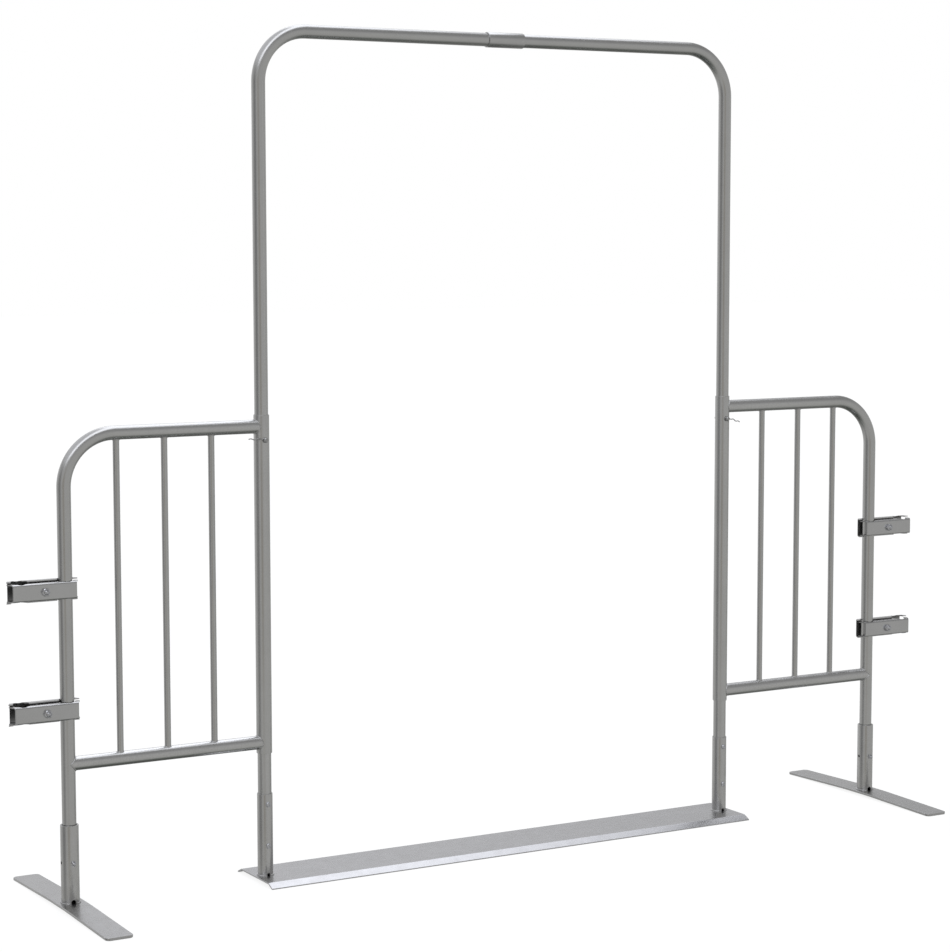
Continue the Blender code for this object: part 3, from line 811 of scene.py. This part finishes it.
def channel_profile(way, half_z):
    """Section of a bent channel: web outwards along way, flanges towards the centre plane."""
    steps = 9
    outer = []
    inner = []
    for level in (1.0, -1.0):
        angles = [0.5 * math.pi * i / steps for i in range(steps + 1)]
        turn = [(math.sin(angle), math.cos(angle)) for angle in angles]
        if level < 0.0:
            turn.reverse()
        for radius, points in ((BRACKET_BEND, outer), (BRACKET_BEND - BRACKET_SHEET, inner)):
            lip = (way * 0.0002, level * (half_z - BRACKET_BEND + radius))
            bend = [
                (
                    way * (BRACKET_WEB_Y - BRACKET_BEND + radius * out),
                    level * (half_z - BRACKET_BEND + radius * rise),
                )
                for out, rise in turn
            ]
            points += [lip] + bend if level > 0.0 else bend + [lip]
    return outer + inner[::-1]


def bracket_plan(sign, way):
    """Plan of one bracket half, with a half-round notch for each post and eased corners."""
    beyond = BRACKET_WEB_Y + 0.001
    outline = [(BRACKET_WEB_X[0], beyond), (BRACKET_WEB_X[1], beyond), (BRACKET_LIP_X[1], BRACKET_LIP_Y)]
    start = math.asin(BRACKET_LIP_Y / BRACKET_HOLE_RADIUS)
    steps = 32
    for centre in (BRACKET_HOLE_X, 0.0):
        for step in range(steps + 1):
            angle = start + (math.pi - 2.0 * start) * step / steps
            across = BRACKET_HOLE_RADIUS * math.sin(angle)
            outline.append((centre + BRACKET_HOLE_RADIUS * math.cos(angle), across))
    outline.append((BRACKET_LIP_X[0], BRACKET_LIP_Y))
    return [(sign * (POST_X + u), way * v) for u, v in outline]


def bracket_half(face, level, side, sign, way):
    node = f"bracket_{face}_{level}_{side}"
    low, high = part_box(node)
    z = 0.5 * (low.z + high.z)
    half_z = 0.5 * (high.z - low.z)
    profile = channel_profile(way, half_z)
    ends = (sign * (POST_X + BRACKET_LIP_X[0]), sign * (POST_X + BRACKET_LIP_X[1]))
    rings = [[Vector((x, y, z + h)) for y, h in profile] for x in ends]
    size = len(profile)
    faces = [tuple(range(size)), tuple(range(size, 2 * size))]
    points, sides = skin(rings)
    obj = new_mesh_object(f"bracket_channel_{face}_{level}_{side}", points, faces + sides)
    plan = bracket_plan(sign, way)
    reach = half_z + 0.01
    levels = [[Vector((x, y, z + h)) for x, y in plan] for h in (-reach, reach)]
    points, sides = skin(levels)
    size = len(plan)
    trim = cutter(points, [tuple(range(size)), tuple(range(size, 2 * size))] + sides)
    cut(obj, [trim], "INTERSECT")
    bolt_x = sign * (POST_X + 0.5 * BRACKET_HOLE_X)
    cut(obj, [drill(Vector((bolt_x, 0.0, z)), Y_AXIS, LARGE_SHANK + BOLT_PLAY, DRILL_REACH)])
    bevel(obj, 0.0004)
    body = f"bracket_{level}_{side}"
    finish_piece(obj, BRACKET_STEEL, body, (node,), 38.0, flat_faced=True)
    # Faces turned into the channel take the darker second material: painted shade inside the bracket.
    obj.data.materials.append(BRACKET_PAINTED_SHADE)
    for polygon in obj.data.polygons:
        across, up = way * polygon.center.y, polygon.center.z - z
        outwards = Vector((0.0, way * (across > BRACKET_WEB_Y - BRACKET_BEND), 0.0))
        if abs(up) > half_z - BRACKET_BEND:
            outwards.z = math.copysign(1.0, up)
        if polygon.normal.dot(outwards) < -0.3:
            polygon.material_index = 1


# ---------------------------------------------------------------- the object


def gateway():
    low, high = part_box("arch_coupler")
    stations = straight(Vector((low.x, 0, ARCH_Z)), Vector((high.x, 0, ARCH_Z)))
    tube("coupler_sleeve", stations, SLEEVE_RADIUS, SLEEVE_WALL, "arch_coupler")
    threshold_plate()
    seed = 0
    for side, sign in SIDES:
        leg_x = sign * LEG_X
        node = f"arch_{side}"
        path = bent_path(leg_x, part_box(node)[0].z, ARCH_Z, -sign, sign * 0.0005)
        tools = bolt_holes(side, leg_x) + [pin_hole(leg_x)]
        tube(f"arch_tube_{side}", path, TUBE_RADIUS, TUBE_WALL, node, tools=tools)
        node = f"base_socket_{side}"
        low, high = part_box(node)
        notch = Vector((leg_x, -SLEEVE_RADIUS, PLATE_TOP_Z + BASE_NOTCH[1]))
        stations = straight(Vector((leg_x, 0, low.z)), Vector((leg_x, 0, high.z)))
        tools = [drill(notch, Y_AXIS, BASE_NOTCH[0], NOTCH_REACH)] + bolt_holes(side, leg_x)
        tube(f"base_tube_{side}", stations, SLEEVE_RADIUS, SLEEVE_WALL, node, tools=tools)
        weld_radius, weld_z = SLEEVE_RADIUS + WELD_LIFT, PLATE_TOP_Z + WELD_LIFT
        socket_bead(f"base_weld_{side}", leg_x, weld_radius, weld_z, BASE_WELD_GAP, seed + 1)
        for level in LEVELS:
            button_bolt(f"base_screw_{level}_{side}", f"base_bolt_{level}_{side}")
            nut = f"base_nut_{level}_{side}"
            hex_nut(f"base_screw_nut_{level}_{side}", nut, FRAME_BODY, SMALL_SHANK, 1.0)
        side_panel(side, sign, seed + 2)
        foot(side, sign, seed + 14)
        lock_pin(side, leg_x)
        lock_handle(side, leg_x, sign)
        for level in LEVELS:
            body = f"bracket_{level}_{side}"
            bracket_half("front", level, side, sign, -1.0)
            bracket_half("back", level, side, sign, 1.0)
            bolt = f"bracket_bolt_{level}_{side}"
            hex_bolt(f"clamp_bolt_{level}_{side}", bolt, body, LARGE_SHANK, LARGE_PITCH)
            hex_nut(f"clamp_nut_{level}_{side}", f"bracket_nut_{level}_{side}", body, LARGE_SHANK, -1.0)
        seed += 20


def side_panel(side, sign, seed):
    post_x = sign * POST_X
    leg_x = sign * LEG_X
    at_sleeve = cope(leg_x, SLEEVE_RADIUS, -sign)
    at_post = cope(post_x, TUBE_RADIUS, sign)
    node = f"panel_frame_{side}"
    path = bent_path(post_x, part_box(node)[0].z, TOP_RAIL_Z, -sign, leg_x)
    tube(f"panel_tube_{side}", path, TUBE_RADIUS, TUBE_WALL, node, end=at_sleeve)
    node = f"panel_sleeve_{side}"
    low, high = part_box(node)
    stations = straight(Vector((leg_x, 0, low.z)), Vector((leg_x, 0, high.z)))
    tube(f"sleeve_tube_{side}", stations, SLEEVE_RADIUS, SLEEVE_WALL, node, tools=[pin_hole(leg_x)])
    rail = straight(Vector((post_x, 0.0, BOTTOM_RAIL_Z)), Vector((leg_x, 0.0, BOTTOM_RAIL_Z)))
    node = f"bottom_rail_{side}"
    tube(f"rail_tube_{side}", rail, TUBE_RADIUS, TUBE_WALL, node, start=at_post, end=at_sleeve)
    rail_bead(f"weld_top_rail_{side}", leg_x, SLEEVE_RADIUS, -sign, TOP_RAIL_Z, seed)
    rail_bead(f"weld_rail_sleeve_{side}", leg_x, SLEEVE_RADIUS, -sign, BOTTOM_RAIL_Z, seed + 1)
    rail_bead(f"weld_rail_post_{side}", post_x, TUBE_RADIUS, sign, BOTTOM_RAIL_Z, seed + 2)
    for index in (1, 2, 3):
        node = f"panel_bar_{side}_{index}"
        low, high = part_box(node)
        x = 0.5 * (low.x + high.x)
        radius = 0.5 * (high.x - low.x)
        ends = (BOTTOM_RAIL_Z + TUBE_RADIUS - 0.001, TOP_RAIL_Z - TUBE_RADIUS + 0.001)
        rings = [circle(Vector((x, 0.0, z)), X_AXIS, Y_AXIS, radius, BAR_SEGMENTS) for z in ends]
        obj = new_mesh_object(f"bar_{side}_{index}", *skin(rings, start_cap=True, end_cap=True))
        finish_piece(obj, BAR_STEEL, nodes=(node,))
        bar_bead(f"weld_bar_foot_{side}_{index}", x, BOTTOM_RAIL_Z, 1.0, radius, seed + 3 + index)
        bar_bead(f"weld_bar_head_{side}_{index}", x, TOP_RAIL_Z, -1.0, radius, seed + 6 + index)


def foot(side, sign, seed):
    foot_plate(side, sign)
    x = sign * POST_X
    node = f"foot_socket_{side}"
    low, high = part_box(node)
    radius = high.y
    centre = Vector((x, 0.0, FOOT_BOLT_Z))
    notch = Vector((x, -radius, FOOT_TOP_Z + FOOT_NOTCH[1]))
    tools = [
        drill(notch, Y_AXIS, FOOT_NOTCH[0], NOTCH_REACH),
        drill(centre, X_AXIS, SMALL_SHANK + BOLT_PLAY, DRILL_REACH),
    ]
    stations = straight(Vector((x, 0, low.z)), Vector((x, 0, high.z)))
    tube(f"foot_tube_{side}", stations, radius, FOOT_SOCKET_WALL, node, tools=tools)
    socket_bead(f"foot_weld_{side}", x, radius + WELD_LIFT, FOOT_TOP_Z + WELD_LIFT, FOOT_WELD_GAP, seed)
    hex_bolt(f"foot_screw_{side}", f"foot_bolt_{side}", FRAME_BODY, SMALL_SHANK, SMALL_PITCH)
    hex_nut(f"foot_screw_nut_{side}", f"foot_nut_{side}", FRAME_BODY, SMALL_SHANK, -1.0)


# ---------------------------------------------------------------- studio

CAMERA_PLACE = Vector((-3.15712, -5.31596, 1.5462))
CAMERA_YAW = 30.0274            # degrees from +Y towards +X
CAMERA_DOWN = 5.5573
CAMERA_ROLL = -0.0540
CAMERA_LENS = 93.53             # millimetres on a 36 mm sensor


def camera():
    data = bpy.data.cameras.new("camera")
    data.lens = CAMERA_LENS
    data.sensor_width = 36.0
    data.clip_start = 0.05
    data.clip_end = 200.0
    obj = bpy.data.objects.new("camera", data)
    bpy.context.scene.collection.objects.link(obj)
    yaw, down, roll = (math.radians(v) for v in (CAMERA_YAW, CAMERA_DOWN, CAMERA_ROLL))
    ahead = Vector((math.sin(yaw) * math.cos(down), math.cos(yaw) * math.cos(down), -math.sin(down)))
    right = Vector((math.cos(yaw), -math.sin(yaw), 0.0))
    up = right.cross(ahead)
    turned_right = right * math.cos(roll) + up * math.sin(roll)
    turned_up = up * math.cos(roll) - right * math.sin(roll)
    axes = Matrix((turned_right, turned_up, -ahead)).transposed()
    obj.matrix_world = Matrix.Translation(CAMERA_PLACE) @ axes.to_4x4()
    bpy.context.scene.camera = obj


WORLD_STRENGTH = 3.0
# (height of the direction, colour) of the room, from straight down to straight up
ROOM = (
    (-1.00, (0.11, 0.12, 0.11)),
    (-0.86, (0.25, 0.26, 0.245)),
    (-0.66, (0.46, 0.46, 0.45)),
    (-0.30, (0.49, 0.49, 0.48)),
    (0.10, (0.49, 0.49, 0.485)),
    (0.40, (0.42, 0.42, 0.42)),
    (0.60, (0.31, 0.31, 0.31)),
    (1.00, (0.31, 0.31, 0.31)),
)
# (azimuth from +X towards +Y, elevation, half width, tint) of panels round the room, in degrees
PANELS = (
    (-118.0, -4.0, 20.0, (0.72, 0.68, 0.62)),
    (180.0, -4.0, 32.0, (0.50, 0.50, 0.51)),
    (92.0, 16.0, 52.0, (1.42, 1.42, 1.45)),
    (60.0, -62.0, 62.0, (0.48, 0.49, 0.48)),
)
# The soft light above and behind: direction, cosines where it begins and where it is full, and its colour
OVERHEAD = (Vector((-0.60, 0.42, 0.68)), 0.24, 0.42, (1.40, 1.43, 1.53))
OVERHEAD_HEIGHTS = (0.38, 0.58)    # heights of the direction between which it fades in
OVERHEAD_GAP = (0.58, 0.76, 0.72)  # cosines between which it fades again, and by what share


def facing(tree, direction, towards):
    """Cosine of the angle between the direction looked in and a fixed one."""
    dot = tree.nodes.new("ShaderNodeVectorMath")
    dot.operation = "DOT_PRODUCT"
    dot.inputs[1].default_value = towards
    tree.links.new(direction, dot.inputs[0])
    return dot.outputs["Value"]


def world():
    made = bpy.data.worlds.new("studio")
    made.use_nodes = True
    tree = made.node_tree
    tree.nodes.clear()
    direction = tree.nodes.new("ShaderNodeTexCoord").outputs["Generated"]
    split = tree.nodes.new("ShaderNodeSeparateXYZ")
    tree.links.new(direction, split.inputs["Vector"])
    ramp = tree.nodes.new("ShaderNodeValToRGB")
    ramp.color_ramp.interpolation = "EASE"
    position = math_node(tree, "MULTIPLY", math_node(tree, "ADD", split.outputs["Z"], 1.0), 0.5)
    tree.links.new(position, ramp.inputs["Fac"])
    while len(ramp.color_ramp.elements) < len(ROOM):
        ramp.color_ramp.elements.new(0.5)
    for element, (height, colour) in zip(ramp.color_ramp.elements, ROOM):
        element.position = 0.5 * (height + 1.0)
        element.color = tuple(c / WORLD_STRENGTH for c in colour) + (1.0,)
    colour = ramp.outputs["Color"]
    for azimuth, elevation, width, tint in PANELS:
        towards, rise = math.radians(azimuth), math.radians(elevation)
        flat = math.cos(rise)
        middle = (math.cos(towards) * flat, math.sin(towards) * flat, math.sin(rise))
        near = facing(tree, direction, middle)
        share = spread(tree, near, math.cos(math.radians(width)), 1.0, 0.0, 1.0)
        tinted = mix_colour(tree, 1.0, colour, tint + (1.0,), "MULTIPLY")
        colour = mix_colour(tree, share, colour, tinted)
    towards, begins, full, glow = OVERHEAD
    near = facing(tree, direction, towards)
    share = spread(tree, near, begins, full, 0.0, 1.0)
    raised = spread(tree, split.outputs["Z"], *OVERHEAD_HEIGHTS, 0.0, 1.0)
    share = math_node(tree, "MULTIPLY", share, raised)
    fades, faded, lost = OVERHEAD_GAP
    share = math_node(tree, "MULTIPLY", share, spread(tree, near, fades, faded, 1.0, 1.0 - lost))
    colour = mix_colour(tree, share, colour, tuple(c / WORLD_STRENGTH for c in glow) + (1.0,), "ADD")
    room = tree.nodes.new("ShaderNodeBackground")
    room.inputs["Strength"].default_value = WORLD_STRENGTH
    tree.links.new(colour, room.inputs["Color"])
    white = tree.nodes.new("ShaderNodeBackground")
    white.inputs["Color"].default_value = (1.0, 1.0, 1.0, 1.0)
    rays = tree.nodes.new("ShaderNodeLightPath")
    chosen = tree.nodes.new("ShaderNodeMixShader")
    tree.links.new(rays.outputs["Is Camera Ray"], chosen.inputs[0])
    tree.links.new(room.outputs[0], chosen.inputs[1])
    tree.links.new(white.outputs[0], chosen.inputs[2])
    out = tree.nodes.new("ShaderNodeOutputWorld")
    tree.links.new(chosen.outputs[0], out.inputs["Surface"])
    bpy.context.scene.world = made


def floor():
    half = 40.0
    corners = ((-half, -half), (half, -half), (half, half), (-half, half))
    points = [Vector((x, y, -0.0002)) for x, y in corners]
    obj = new_mesh_object("floor", points, [(0, 1, 2, 3)])
    material = bpy.data.materials.new("floor")
    material.use_nodes = True
    tree = material.node_tree
    shader = tree.nodes["Principled BSDF"]
    shader.inputs["Roughness"].default_value = 0.9
    shader.inputs["Specular IOR Level"].default_value = 0.0
    place = tree.nodes.new("ShaderNodeTexCoord").outputs["Object"]
    paper = mix_colour(tree, pattern(tree, place, 3.0, 4.0), (0.19, 0.19, 0.19, 1), (0.21, 0.21, 0.21, 1))
    tree.links.new(paper, shader.inputs["Base Color"])
    shader.inputs["Emission Color"].default_value = (1.0, 1.0, 1.0, 1.0)
    shader.inputs["Emission Strength"].default_value = 0.86
    obj.data.materials.append(material)
    obj.visible_glossy = False


def softbox(name, place, aim, width, height, power, colour):
    data = bpy.data.lights.new(name, "AREA")
    data.shape = "RECTANGLE"
    data.size = width
    data.size_y = height
    data.energy = power
    data.color = colour
    obj = bpy.data.objects.new(name, data)
    obj.location = place
    obj.rotation_mode = "QUATERNION"
    obj.rotation_quaternion = (Vector(aim) - Vector(place)).to_track_quat("-Z", "Y")
    obj.visible_camera = False
    obj.visible_glossy = False
    bpy.context.scene.collection.objects.link(obj)


gateway()
camera()
world()
floor()
softbox("overhead", (0.6, 0.4, 5.2), (0.0, 0.0, 0.5), 4.5, 3.0, 12.0, (0.96, 0.98, 1.0))
bpy.context.scene.view_settings.view_transform = "Standard"
